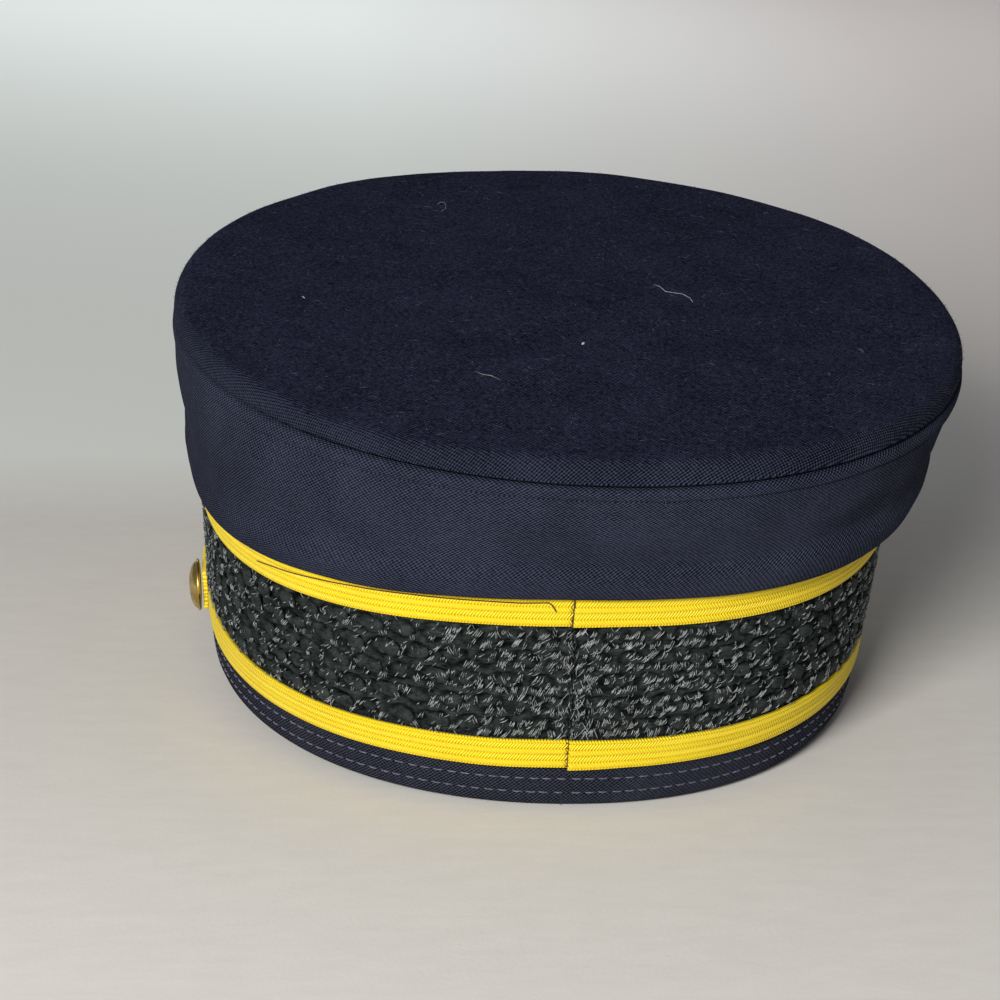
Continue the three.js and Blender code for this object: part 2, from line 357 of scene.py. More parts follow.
def frame_at(angle, z, outset=0.0):
    """Place on the band with its run, its rise and its outward direction."""
    here = band_point(angle, z, outset)
    run = (band_point(angle + 0.002, z, outset) - here).normalized()
    rise = (band_point(angle, z + 0.5, outset) - here).normalized()
    out = run.cross(rise).normalized()
    return here, run, rise, out


THREAD_BLANKS = {}


def thread_blank(sides, rings):
    """A plain round thread of unit size along Z, closed at both ends; made once for each form."""
    if (sides, rings) not in THREAD_BLANKS:
        blank = bmesh.new()
        bmesh.ops.create_cone(blank, cap_ends=True, segments=sides, radius1=1.0, radius2=1.0,
                              depth=1.0)
        lengthwise = [e for e in blank.edges if abs(e.verts[0].co.z - e.verts[1].co.z) > 0.5]
        if rings > 2:
            bmesh.ops.subdivide_edges(blank, edges=lengthwise, cuts=rings - 2)
        THREAD_BLANKS[(sides, rings)] = mesh_of(blank, "thread_blank")
    return THREAD_BLANKS[(sides, rings)]


def add_thread(strands, points, thickness, sides=6):
    """Bends one round thread along points, tapered at both ends, in an open bmesh."""
    places = []
    for i, point in enumerate(points):
        ahead = points[min(i + 1, len(points) - 1)] - points[max(i - 1, 0)]
        size = thickness / 2 * (0.45 if i in (0, len(points) - 1) else 1.0)
        turn = ahead.to_track_quat("Z", "Y").to_matrix()
        places.append((point, turn, size))
    before = len(strands.verts)
    strands.from_mesh(thread_blank(sides, len(points)))
    strands.verts.ensure_lookup_table()
    for v in strands.verts[before:]:
        point, turn, size = places[round((v.co.z + 0.5) * (len(points) - 1))]
        v.co = point + turn @ Vector((v.co.x * size, v.co.y * size, 0.0))


def sewing_thread(name, dark, light, roughness=0.6):
    """Spun polyester sewing thread: two plies twisted together, with a faint gloss."""
    mat = new_material(name)
    plies = speckle(mat, own_place(mat), 2400.0, 2.0)
    colour = ramp(mat, plies, [(0.3, dark), (0.7, light)])
    finish_cloth(mat, colour, roughness, plies, 0.00005, 0.2)
    return mat


def stray(most):
    return uniform(-most, most)


random.seed(11)
stitches = bmesh.new()
for z in STITCH_ROWS.values():
    lengths = round_lengths(lambda a: band_point(a, z), STITCH_STEPS)
    count = int(lengths[-1] / STITCH_PITCH)
    for i in range(count):
        start = (i + stray(0.08)) * STITCH_PITCH
        points = []
        for share, lift in STITCH_ARC:
            angle = angle_at(start + STITCH_LENGTH * share, lengths)
            points.append(band_point(angle, z + stray(0.05), lift))
        add_thread(stitches, points, STITCH_THREAD)
rim_stitching = lay_in_place(stitches, "rim_stitching",
                             sewing_thread("grey_violet_thread", "#3b3a4c", "#75748a"))
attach(rim_stitching, "root")

# Gold braids: two flat woven braids of bright yellow artificial silk, each of four ribs
# between thin selvedges. Their ends meet at the back seam, where they are oversewn.
BRAID_WIDTH = 7.6
BRAID_FACE = 1.0
LOWER_BRAID_START = 10.5
UPPER_BRAID_START = 48.3
BRAID_SEAM_GAP = 0.25
LOWER_JOINT = -1.4
UPPER_JOINT = -2.2
BRAID_RIBS = 4
EDGE_CORD = 0.55
BRAID_ROWS = 37
BRAID_STEPS = 1440
DROP_RUN = 16.0


def braid_face(share):
    """Height of the braid's face over its edges at a share of its width."""
    width = share * BRAID_WIDTH
    if width < EDGE_CORD or width > BRAID_WIDTH - EDGE_CORD:
        middle = EDGE_CORD / 2 if width < EDGE_CORD else BRAID_WIDTH - EDGE_CORD / 2
        return 0.12 * cos((width - middle) / EDGE_CORD * pi)
    rib = (width - EDGE_CORD) / (BRAID_WIDTH - 2 * EDGE_CORD) * BRAID_RIBS
    return -0.02 + 0.2 * abs(sin(rib * pi)) ** 0.6


def braid_strip(start, drop, joint):
    """One braid, open at its joint, joint mm along from the back seam; its end on the
    wearer's right hangs lower by drop."""
    strip = bmesh.new()
    turn = strip.verts.layers.int.new("turn")
    line = strip.verts.layers.int.new("line")
    laid_rows = [(i / (BRAID_ROWS - 1), True) for i in range(BRAID_ROWS)]
    laid_rows += [(1 - i / 4, False) for i in range(5)]
    bmesh.ops.create_grid(strip, x_segments=ROUND_STEPS, y_segments=len(laid_rows) - 1, size=0.5)
    lengths = round_lengths(lambda a: band_point(a, start + BRAID_WIDTH / 2), BRAID_STEPS)
    laid = strip.loops.layers.uv.new("cloth")
    for v in strip.verts:
        v[turn] = round((v.co.x + 0.5) * ROUND_STEPS)
        v[line] = round((v.co.y + 0.5) * (len(laid_rows) - 1))
        share, outside = laid_rows[v[line]]
        run = mix(BRAID_SEAM_GAP / 2, lengths[-1] - BRAID_SEAM_GAP / 2, v[turn] / ROUND_STEPS)
        angle = angle_at(run + joint, lengths)
        lowered = drop * (1 - smooth(run / DROP_RUN))
        raised = 0.25 * drop * (1 - smooth((lengths[-1] - run) / DROP_RUN))
        wave = 0.16 * noise_round(angle, 5, start)
        z = start + 0.12 + share * (BRAID_WIDTH - 0.24) - lowered * (1.25 - share) + raised + wave
        rounded = 0.35 * max(0, 1 - min(share, 1 - share) * BRAID_WIDTH / 0.3) ** 2
        face = BRAID_FACE - 0.18 + braid_face(share) - rounded if outside else -0.45
        v.co = band_point(angle, z, face)
    for face in strip.faces:
        for loop in face.loops:
            share = laid_rows[loop.vert[line]][0]
            run = lengths[-1] * loop.vert[turn] / ROUND_STEPS
            loop[laid].uv = (run, share * BRAID_WIDTH)
    edge_rows = {0, len(laid_rows) - 1}
    rims = [e for e in strip.edges if e.is_boundary
            and e.verts[0][line] == e.verts[1][line] and e.verts[0][line] in edge_rows]
    bmesh.ops.bridge_loops(strip, edges=rims)
    bmesh.ops.holes_fill(strip, edges=[e for e in strip.edges if e.is_boundary], sides=0)
    bmesh.ops.recalc_face_normals(strip, faces=strip.faces)
    return strip


# Artificial silk braid: bright filament yarns plaited at a slant, turning at each rib, so
# it glints in a herringbone. Yarns are 0.5 mm apart on the braid; drawn 0.75 mm apart.
YARN_PITCH = 0.75


def gold_braid_silk(name):
    mat = new_material(name)
    along, across = cloth_place(mat)
    rib_width = (BRAID_WIDTH - 2 * EDGE_CORD) / BRAID_RIBS
    rib = maths(mat, "DIVIDE", maths(mat, "SUBTRACT", across, EDGE_CORD), rib_width)
    slanted = scaled(mat, maths(mat, "PINGPONG", rib, 1.0), 1.1, along)
    yarns = maths(mat, "SINE", scaled(mat, slanted, FULL_TURN / YARN_PITCH))
    # Painted shade: the colour is kept bright on the rib tops and darkened towards the orange end
    # of the ramp in the furrows between the ribs, where shade falls.
    painted_rib_shade = maths(mat, "SINE", scaled(mat, rib, pi))
    painted_rib_shade = maths(mat, "ABSOLUTE", painted_rib_shade)
    place = own_place(mat)
    fibre = speckle(mat, place, 1400.0, 3.0)
    worn = speckle(mat, place, 70.0, 3.0)
    shade = scaled(mat, yarns, 0.1, 0.06)
    shade = scaled(mat, painted_rib_shade, 0.42, shade)
    shade = scaled(mat, fibre, 0.25, shade)
    shade = scaled(mat, worn, 0.22, shade)
    colour = ramp(mat, shade, [(0.08, "#b87a02"), (0.4, "#f5d014"), (0.9, "#fdec32")])
    height = scaled(mat, fibre, 0.6, yarns)
    finish_cloth(mat, colour, 0.5, height, 0.00012, 0.1, "#fff0a0")
    return mat


braid_gold = gold_braid_silk("gold_artificial_silk")
for name, start, drop, joint in (("gold_braid_low", LOWER_BRAID_START, 0.55, LOWER_JOINT),
                                 ("gold_braid_high", UPPER_BRAID_START, 0.2, UPPER_JOINT)):
    braid = lay_in_place(braid_strip(start, drop, joint), name, braid_gold)
    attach(braid, "root")
    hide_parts("gold_braid_lower" if drop > 0.3 else "gold_braid_upper")

# Oversewing at the back: a few short stitches of dark red-brown thread on the lower braid's
# ends, one upright thread between the upper braid's ends and one down the seam of the rim.
seam_sewing = bmesh.new()
for height in (0.9, 2.6, 4.3, 5.7, 7.0):
    points = []
    for run, lift in ((-0.9, 0.75), (-0.4, 0.98), (0.1, 1.0), (0.5, 0.7)):
        angle = BACK + (LOWER_JOINT + run) / RIM_HALF_LENGTH
        points.append(band_point(angle, LOWER_BRAID_START + height - 0.25 * run, lift))
    add_thread(seam_sewing, points, 0.26)
rim_seam = bmesh.new()
for low, high, run, lean, lift, sewing in (
        (48.6, 55.6, UPPER_JOINT, 0.5, BRAID_FACE, seam_sewing),
        (0.3, 10.3, LOWER_JOINT - 0.7, 0.6, 0.12, rim_seam)):
    points = []
    for part in range(9):
        z = mix(low, high, part / 8)
        sway = 0.12 * sin(part * 2.2)
        angle = BACK + (run + lean * (part / 8 - 0.5) + sway) / RIM_HALF_LENGTH
        points.append(band_point(angle, z, lift))
    add_thread(sewing, points, 0.3)
navy_thread = sewing_thread("navy_thread", "#05060c", "#10121c")
rim_seam_thread = lay_in_place(rim_seam, "rim_seam_thread", navy_thread)
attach(rim_seam_thread, "root")
red_brown_thread = sewing_thread("red_brown_thread", "#2a120c", "#5a2a1a")
seam_stitches = lay_in_place(seam_sewing, "back_seam_stitches", red_brown_thread)
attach(seam_stitches, "root")

# A loose end of dark sewing thread: it lies across the upper braid, follows its top edge
# towards the back seam and ends in a short stub.
# angle in degrees and height in mm
THREAD_PATH = ((134.5, 52.1), (137.5, 52.9), (140.9, 53.4), (145.3, 54.2), (150, 54.7), (158, 55.0),
               (166.7, 54.9), (171.8, 54.7), (175.4, 54.9), (175.9, 54.3), (176.6, 52.2))
loose_end = bmesh.new()
points = []
for (angle, z), (next_angle, next_z) in zip(THREAD_PATH, THREAD_PATH[1:]):
    for part in range(8):
        share = part / 8
        points.append(band_point(radians(mix(angle, next_angle, share)),
                                 mix(z, next_z, share), BRAID_FACE + 0.22))
add_thread(loose_end, points, 0.32)
loose_thread = lay_in_place(loose_end, "loose_thread", red_brown_thread)
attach(loose_thread, "root")

# The black braid: a broad mohair braid with five rows of plump, smooth pads. The pads of
# one row stand over the gaps of the next, and short shiny tufts stand slantwise beside them.
# Near the back seam the pads sink away and the tufts cover the braid.
BLACK_START = 18.4
BLACK_WIDTH = 29.6
PAD_ROWS = 5
ROW_HEIGHT = BLACK_WIDTH / PAD_ROWS
PAD_PITCH = 8.1
PAD_SIZE = (5.2, 1.5, 3.8)
GROUND_STEPS = 900
GROUND_ROWS = 74
SEAM_TUFTS = 14.0
SEAM_FADE = 42.0
SEAM_HAIRS = 50
LOOSE_HAIRS = 2600
EDGE_HAIRS = 260

# noise_vector takes its offsets from this seed, so the grooves are the same in every run.
noise.seed_set(5)
black_lengths = round_lengths(lambda a: band_point(a, BLACK_START + BLACK_WIDTH / 2), BRAID_STEPS)
pads_round = round(black_lengths[-1] / PAD_PITCH)
pad_pitch = black_lengths[-1] / pads_round


def seam_nearness(run):
    """One at the back seam, falling to nothing about 60 mm from it."""
    away = min(run % black_lengths[-1], -run % black_lengths[-1])
    return 1 - smooth((away - SEAM_TUFTS) / SEAM_FADE)


def groove(run, height):
    """How far a spot lies down in the uneven groove round a pad, from nothing to one."""
    drift = noise.noise_vector(Vector((run * 0.35, height * 0.6, 5.0)))
    row = (height + 0.9 * drift.y) / ROW_HEIGHT
    column = (run + 1.6 * drift.x) / pad_pitch + 0.5 * (int(row) % 2) + 0.5
    near = (column % 1.0 - 0.5) * pad_pitch
    ring = math.hypot(near / 2.8, (row % 1.0 - 0.5) * ROW_HEIGHT / 2.2)
    return exp(-(((ring - 1) / 0.26) ** 2)) * min(1.0, 0.85 + 0.8 * drift.z)


def black_ground(run, height):
    """Outset of the braid's ground: low ridges between the rows and a groove round each pad."""
    in_row = (height / ROW_HEIGHT) % 1.0
    ridge = 0.3 * exp(-((min(in_row, 1 - in_row) * ROW_HEIGHT / 0.6) ** 2))
    plump = 0.5 * noise.noise(Vector((run * 0.55, height * 0.75, 3.0)))
    rough = 0.3 * noise.noise(Vector((run * 1.6, height * 2.1, 7.0)))
    return 0.12 + ridge + plump + rough - 1.2 * groove(run, height)


def black_row(height, inside=False):
    def row(angle):
        z = BLACK_START + min(max(height, 0.1), BLACK_WIDTH - 0.1)
        if inside:
            return band_point(angle, z, -0.7)
        run = ((angle - BACK) / FULL_TURN) * black_lengths[-1]
        edge = smooth(min(height, BLACK_WIDTH - height) / 0.8)
        border = 8.0 if height < 5 else 12.0
        wave = 0.3 * noise.noise(Vector((run / 3.1, 0.0, border))) * (1 - edge)
        return band_point(angle, z + wave, mix(-0.35, max(-0.6, black_ground(run, height)), edge))
    return row


rows = [black_row(BLACK_WIDTH * i / GROUND_ROWS) for i in range(GROUND_ROWS + 1)]
rows += [black_row(BLACK_WIDTH, True), black_row(BLACK_WIDTH / 2, True), black_row(0, True)]
ground = wrap_round(rows, steps=GROUND_STEPS, measure=lambda a: band_point(a, BLACK_START + 15))
# Painted shade: each vertex of the ground keeps how far down it lies in a groove, and the ground's
# colour is darkened there towards black.
painted_groove_shade = ground.verts.layers.float.new("painted_groove_shade")
turn, line = ground.verts.layers.int["turn"], ground.verts.layers.int["line"]
for v in ground.verts:
    run = v[turn] / GROUND_STEPS * black_lengths[-1]
    v[painted_groove_shade] = groove(run, BLACK_WIDTH * v[line] / GROUND_ROWS)


# Black mohair braid: lustrous goat hair, dyed black with a green cast. The hairs lie close together
# along the braid, so the yarns are dark; their thin pale streaks are partly the hair's own tone and
# partly painted glints.
def stretched(mat, place, amounts):
    return add_node(mat, "VectorMath", {"operation": "MULTIPLY"},
                    i0=place, i1=amounts).outputs[0]


def black_mohair(name, dark, light, roughness, specular, with_painted_groove_shade=False):
    mat = new_material(name)
    place = own_place(mat)
    # The stretched hair noise gives the colour pale streaks along the hairs: partly the hair's own
    # tone, partly painted glints.
    hairs = speckle(mat, stretched(mat, place, (0.45, 0.45, 2.2)), 1500.0, 4.0, 0.8)
    tufts = speckle(mat, place, 420.0, 3.0)
    shade = scaled(mat, hairs, 0.7, scaled(mat, tufts, 0.4))
    colour = ramp(mat, shade, [(0.41, dark), (0.72, light)])
    # Painted shade: the colour goes nearly black down in the grooves round the pads, where shade
    # falls.
    if with_painted_groove_shade:
        depth = add_node(mat, "Attribute", {"attribute_name": "painted_groove_shade"}).outputs["Fac"]
        colour = mixed(mat, scaled(mat, depth, 0.92), colour, linear("#010101"))
    height = scaled(mat, tufts, 0.8, hairs)
    finish_cloth(mat, colour, roughness, height, 0.00022, specular=specular)
    return mat


black_braid = lay_in_place(ground, "black_braid_ground", black_mohair(
    "black_mohair_ground_painted_groove_shade", "#020303", "#3d4545", 0.8, 0.04, with_painted_groove_shade=True))
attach(black_braid, "root")
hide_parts("mohair_band")

random.seed(5)
pads = bmesh.new()
pad_blank = bmesh.new()
bmesh.ops.create_uvsphere(pad_blank, u_segments=8, v_segments=6, radius=0.5)
pad_mesh = mesh_of(pad_blank, "pad_blank")
tufts = bmesh.new()


def add_hair(run, z, length, slant, lift, thickness):
    """One shiny hair of a tuft: it rises from the ground, lies over it and dips in again."""
    line = []
    for share, height in ((0.0, 0.5), (0.3, 0.95), (0.75, 1.0), (1.0, 0.6)):
        a = angle_at(run + slant * length * (share - 0.5), black_lengths)
        line.append(band_point(a, z + length * (share - 0.5), 0.15 + lift * height))
    add_thread(tufts, line, thickness, 4)


def add_tuft(run, z, hairs, length):
    """A few hairs side by side, all at about the same slant."""
    slant = uniform(0.1, 0.75) * (1 if random.random() < 0.88 else -0.7)
    lift = uniform(0.45, 0.85)
    for hair in range(hairs):
        add_hair(run + 0.42 * hair + stray(0.1), z + stray(0.25),
                 length * uniform(0.6, 1.2), slant + stray(0.3),
                 lift + stray(0.15), uniform(0.14, 0.27))


for row in range(PAD_ROWS):
    for i in range(pads_round):
        run = (i + 0.5 * (row % 2)) * pad_pitch + stray(0.7)
        z = BLACK_START + (row + 0.5) * ROW_HEIGHT + stray(0.4)
        near = seam_nearness(run)
        if random.random() > near * 0.85:
            here, along, rise, out = frame_at(angle_at(run, black_lengths), z)
            turned = Matrix((along, out, rise)).transposed().to_4x4()
            plump = uniform(0.82, 1.12) * (1 - 0.3 * near)
            before = len(pads.verts)
            pads.from_mesh(pad_mesh)
            pads.verts.ensure_lookup_table()
            lean = Matrix.Rotation(stray(0.35), 4, "Y")
            lean = lean @ Matrix.Rotation(uniform(0.08, 0.2), 4, "Z")
            stand = Matrix.Translation(here + out * uniform(0.0, 0.3)) @ turned @ lean
            for v in pads.verts[before:]:
                boxy = Vector([math.copysign(abs(c * 2) ** 0.8 / 2, c) for c in v.co])
                lump = 1 + 0.16 * noise.noise(Vector((v.co.x * 4, v.co.z * 4, run)))
                v.co = stand @ Vector((boxy.x * PAD_SIZE[0] * plump * lump, boxy.y * PAD_SIZE[1],
                                       boxy.z * PAD_SIZE[2] * plump * lump))
        add_tuft(run + 1.5 + uniform(-0.4, 0.6), z - uniform(0.9, 1.7),
                 random.choice((3, 4, 5)), 1.7)
        if random.random() < 0.6:
            add_tuft(run + 3.2 + stray(0.6), z + uniform(0.6, 1.6),
                     random.choice((2, 3, 4)), 1.5)
        if random.random() < 0.35:
            add_tuft(run - 1.4 + stray(0.5), z - 1.9, 2, 1.2)
        if near > 0.05:
            for cell in range(8):
                if random.random() < 0.95 * near:
                    add_tuft(run + cell * 1.1 + stray(0.8),
                             z + (-1.4 if cell % 2 else 1.2) + stray(0.75),
                             random.choice((2, 3, 3, 4)), uniform(1.1, 2.3))
for _ in range(SEAM_HAIRS):
    run = random.gauss(0.0, 2.0)
    add_hair(run, BLACK_START + uniform(0.6, BLACK_WIDTH - 0.6), uniform(1.5, 3.4),
             stray(0.8), uniform(0.7, 1.2), uniform(0.14, 0.24))
for _ in range(LOOSE_HAIRS):
    add_hair(uniform(0, black_lengths[-1]),
             BLACK_START + uniform(1.0, BLACK_WIDTH - 1.0),
             uniform(0.5, 1.3), uniform(-0.4, 1.8), uniform(0.55, 1.0),
             uniform(0.13, 0.22))
for _ in range(EDGE_HAIRS):
    edge = random.choice((0.4, BLACK_WIDTH - 0.3))
    add_hair(uniform(0, black_lengths[-1]), BLACK_START + edge + stray(0.3),
             uniform(0.9, 1.6), stray(0.9), 0.7, uniform(0.12, 0.2))
for offset in (-0.25, 0.35):
    line = []
    for part in range(25):
        run = LOWER_JOINT - 0.4 + offset + 0.25 * sin(part * 1.7 + offset * 9)
        z = BLACK_START + 0.4 + (BLACK_WIDTH - 0.8) * part / 24
        line.append(band_point(BACK + run / RIM_HALF_LENGTH, z, 1.05))
    add_thread(pads, line, 0.42)
black_pads = lay_in_place(pads, "black_braid_pads", black_mohair(
    "black_mohair_pads", "#040606", "#3c4444", 0.6, 0.1))
# The tufts are coloured pale grey though the hair is black: a painted glint on the shiny hairs.
black_tufts = lay_in_place(tufts, "black_braid_tufts", black_mohair(
    "black_mohair_tufts_painted_glint", "#262c2c", "#c6cdce", 0.4, 0.4))
for piece in (black_pads, black_tufts):
    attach(piece, "root")

# The crown's side: a curved strip of navy serge, sewn into the band, that swells over the
# upper braid, tucks in at a soft waist and flares out to the welted seam of the top.
CROWN_START = 56.2
CROWN_OVERHANG_SIDE = 12.5
CROWN_OVERHANG_FRONT = 13.2
CROWN_OVERHANG_BACK = 11.3
CROWN_FRONT_RISE = 35.6
CROWN_BACK_RISE = 34.0
CROWN_LEAN = 4.8
CROWN_SQUARE = 2.08
CROWN_SIDE_HEIGHT = 32.0
SEAM_DROP_LEFT = 1.6
SEAM_DROP_RIGHT = 3.4
WELT_HEIGHT = 0.75
# rise on the wearer's left, rise on the right, swell and lean, from the tuck to the seam
CROWN_SECTION = ((0.0, 0.0, 0.1, 0.0), (0.0, 0.03, 0.33, 0.18), (0.04, 0.12, 0.47, 0.35),
                 (0.1, 0.28, 0.565, 0.5), (0.18, 0.42, 0.53, 0.6), (0.27, 0.49, 0.57, 0.68),
                 (0.38, 0.56, 0.65, 0.76), (0.51, 0.65, 0.78, 0.82), (0.66, 0.75, 0.89, 0.88),
                 (0.82, 0.86, 0.955, 0.95), (0.95, 0.95, 0.985, 0.99), (1.0, 1.0, 0.965, 1.0))
# name, angle and half spread in degrees, rise there, slant, half width and depth in mm
CREASES = (("under_welt", 238, 34, 0.79, 0.0, 2.4, 0.9),
           ("right_tuck", 258, 30, 0.62, -0.1, 2.6, 0.9),
           ("right_swell", 250, 34, 0.4, 0.1, 4.0, -0.7),
           ("left_tuck", 96, 22, 0.24, -0.1, 2.4, 0.5),
           ("left_swell", 100, 16, 0.14, 0.0, 3.0, -0.4),
           ("left_hem", 120, 17, 0.06, 0.0, 4.5, 2.0),
           ("back_drag", 205, 25, 0.35, 0.3, 5.0, 0.35),
           ("left_drag", 138, 24, 0.4, -0.4, 5.0, 0.3))


def crown_oval_point(angle, swell, square_share, outset):
    return oval_point(angle, BAND_TOP_HALF_WIDTH + CROWN_OVERHANG_SIDE * swell + outset,
                      BAND_TOP_HALF_LENGTH + CROWN_OVERHANG_FRONT * swell + outset,
                      BAND_TOP_HALF_LENGTH + CROWN_OVERHANG_BACK * swell + outset,
                      mix(SQUARE_TOP_LEFT, CROWN_SQUARE, square_share),
                      mix(SQUARE_TOP_RIGHT, CROWN_SQUARE, square_share), 0.0)


def left_share(x):
    return clamp((1 + x / (BAND_TOP_HALF_WIDTH + CROWN_OVERHANG_SIDE)) / 2)


def widest_height(y):
    share = (1 - y / (BAND_TOP_HALF_LENGTH + CROWN_OVERHANG_FRONT)) / 2
    return mix(CROWN_BACK_RISE, CROWN_FRONT_RISE, clamp(share))


def seam_height(point):
    return widest_height(point.y) - mix(SEAM_DROP_RIGHT, SEAM_DROP_LEFT, left_share(point.x))


def section_at(place):
    """Values of the section table at a place between its rows, on a smooth curve."""
    low = min(int(place), len(CROWN_SECTION) - 2)
    share = place - low
    four = [CROWN_SECTION[min(max(low + k, 0), len(CROWN_SECTION) - 1)] for k in (-1, 0, 1, 2)]
    values = []
    for a, b, c, d in zip(*four):
        values.append(b + 0.5 * share * (c - a + share * (2 * a - 5 * b + 4 * c - d
                      + share * (3 * (b - c) + d - a))))
    return values


def crease_depth(angle, rise):
    depth = 0.0
    degrees = math.degrees(angle) % 360
    for _, middle, spread, height, slant, width, deep in CREASES:
        away = (degrees - middle) / spread
        off = (rise - height - slant * away) * CROWN_SIDE_HEIGHT / width
        depth += deep * exp(-away * away) * exp(-off * off)
    ripple = noise_round(angle, 3, rise * 1.5)
    fine = noise_round(angle, 10, rise * 4.0)
    fade = max(0.0, sin(pi * clamp(rise))) ** 0.5
    return (depth + 0.7 * ripple + 0.28 * fine) * fade


def side_row(place, outset=0.0, welt=0.0):
    def row(angle):
        rise_left, rise_right, swell, lean = section_at(place)
        point = crown_oval_point(angle, swell, (rise_left + rise_right) / 2, 0.0)
        share = left_share(point.x)
        rise = mix(rise_right, rise_left, share)
        out = outset - crease_depth(angle, rise) + welt * mix(1.0, 0.62, share)
        point = crown_oval_point(angle, swell, (rise_left + rise_right) / 2, out)
        hang = 0.35 * noise_round(angle, 6, 1.0)
        low = max(0.0, 1 - rise / 0.12) * (0.6 * hang + 0.15)
        point.z = CROWN_START + seam_height(point) * rise + low
        point.x -= CROWN_LEAN * lean
        return point
    return row


# place in the side's section, lift as a share of the welt's height
WELT_ROWS = ((9.42, 0.0), (9.46, -0.3), (9.5, -0.18), (9.56, 0.45), (9.66, 0.75), (9.8, 0.85),
             (10.0, 0.88), (10.25, 0.85), (10.5, 0.7), (10.68, 0.35), (10.82, -0.2), (11.0, -0.95))
# place in the side's section, outset in mm, down the inside
INNER_ROWS = ((11.0, -1.3), (10.5, -1.6), (8.0, -1.5), (6.0, -1.5), (4.0, -1.5), (2.0, -1.5),
              (0.6, -2.2), (0.0, -3.2))
side_rows = [side_row(i * 0.2) for i in range(47)]
side_rows += [side_row(place, 0.0, lift * WELT_HEIGHT) for place, lift in WELT_ROWS]
side_rows += [side_row(place, out) for place, out in INNER_ROWS]
side_cloth = wrap_round(side_rows, measure=side_row(5.0))
crown_side = lay_in_place(side_cloth, "crown_side_cloth", navy_serge("navy_serge_side"))
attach(crown_side, "root")
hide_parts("crown_side")

# A short end of navy thread that stands out of the welt, a little right of the back's middle.
# angle in degrees, place in the side's section, outset in mm
SIDE_THREAD_PATH = ((185.4, 9.95, 0.65), (185.5, 9.7, 0.6), (185.7, 9.4, 0.35), (186.0, 9.1, 0.15))
side_end = bmesh.new()
points = [side_row(place, out)(radians(a)) for a, place, out in SIDE_THREAD_PATH]
add_thread(side_end, points, 0.34)
side_thread = lay_in_place(side_end, "side_thread_end", navy_thread)
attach(side_thread, "root")

# The top of the crown: an oval panel of the same serge, worn matt and slightly pilled, laid
# over the side's edge. It turns down over a soft shoulder into the seam.
SHOULDER = 3.8
TOP_DOME = 1.0
PANEL_ROWS = 40
CLOTH_THICKNESS = 0.0014
# swell, rise, outset and lift in mm of each row of the turned-down lip
LIP_ROWS = ((0.965, 0.0, -1.5, 0.1), (0.965, 0.0, -0.95, 0.2), (0.97, 0.03, -0.45, 0.4),
            (0.978, 0.12, 0.05, 0.55), (0.99, 0.5, 0.1, 0.15), (0.996, 0.75, 0.0, 0.0))


def top_point(angle, swell, rise, outset, lift):
    point = crown_oval_point(angle, swell, 1.0, outset)
    point.z = CROWN_START + mix(seam_height(point), widest_height(point.y), rise) + lift
    point.x -= CROWN_LEAN
    return point


def top_ripple(point):
    slow = noise.noise(Vector((point.x / 34, point.y / 34, 5.0)))
    quick = noise.noise(Vector((point.x / 11, point.y / 11, 9.0)))
    return 0.55 * slow + 0.12 * quick


def shoulder_row(degrees, outset=0.0):
    turn = radians(degrees)

    def row(angle):
        point = top_point(angle, 1.0, 1.0, outset + SHOULDER * (cos(turn) - 1),
                          (SHOULDER + min(0.0, outset)) * sin(turn))
        point.z += top_ripple(point) * sin(turn) ** 2
        return point
    return row


def panel_row(share):
    def row(angle):
        edge = top_point(angle, 1.0, 1.0, -SHOULDER, SHOULDER)
        middle = Vector((-CROWN_LEAN, 0.0, CROWN_START + widest_height(0.0) + SHOULDER))
        point = middle.lerp(edge, share)
        point.z += TOP_DOME * (1 - share * share) + top_ripple(point)
        return point
    return row


def lip_row(swell, rise, outset, lift):
    def row(angle):
        pucker = 0.1 * noise_round(angle, 28, 2.0)
        return top_point(angle, swell, rise, outset + pucker, lift)
    return row


top_rows = [lip_row(*values) for values in LIP_ROWS]
top_rows += [shoulder_row(degrees) for degrees in range(0, 90, 10)]
top_rows += [panel_row(1 - i / PANEL_ROWS) for i in range(PANEL_ROWS)]
top_cloth = wrap_round(top_rows, shut=False)
panel_line = top_cloth.verts.layers.int["line"]
hub = [e for e in top_cloth.edges
       if e.is_boundary and e.verts[0][panel_line] == len(top_rows) - 1]
bmesh.ops.edgeloop_fill(top_cloth, edges=hub)
bmesh.ops.recalc_face_normals(top_cloth, faces=top_cloth.faces)
highest = max(top_cloth.faces, key=lambda f: f.calc_center_median().z)
if highest.normal.z < 0:
    bmesh.ops.reverse_faces(top_cloth, faces=top_cloth.faces)
turned_down = [0.0] * len(top_rows)
for i in range(len(top_rows) - 2, -1, -1):
    low, high = top_rows[i](BACK), top_rows[i + 1](BACK)
    turned_down[i] = turned_down[i + 1] + (low - high).length - abs(low.y - high.y)
panel_map = top_cloth.loops.layers.uv["cloth"]
panel_line = top_cloth.verts.layers.int["line"]
for face in top_cloth.faces:
    for loop in face.loops:
        flat = loop.vert.co.xy
        flat = flat + flat.normalized() * turned_down[loop.vert[panel_line]]
        loop[panel_map].uv = (-flat.x, -flat.y)
crown_top = lay_in_place(top_cloth, "crown_top_cloth", navy_serge(
    "navy_serge_top", wale_depth=0.00026, dark="#05060f", light="#4c5070", pilled=1.6,
    specular=0.02))
wall = crown_top.modifiers.new("cloth_thickness", "SOLIDIFY")
wall.thickness = CLOTH_THICKNESS
wall.offset = -1.0
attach(crown_top, "root")
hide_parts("crown_top")

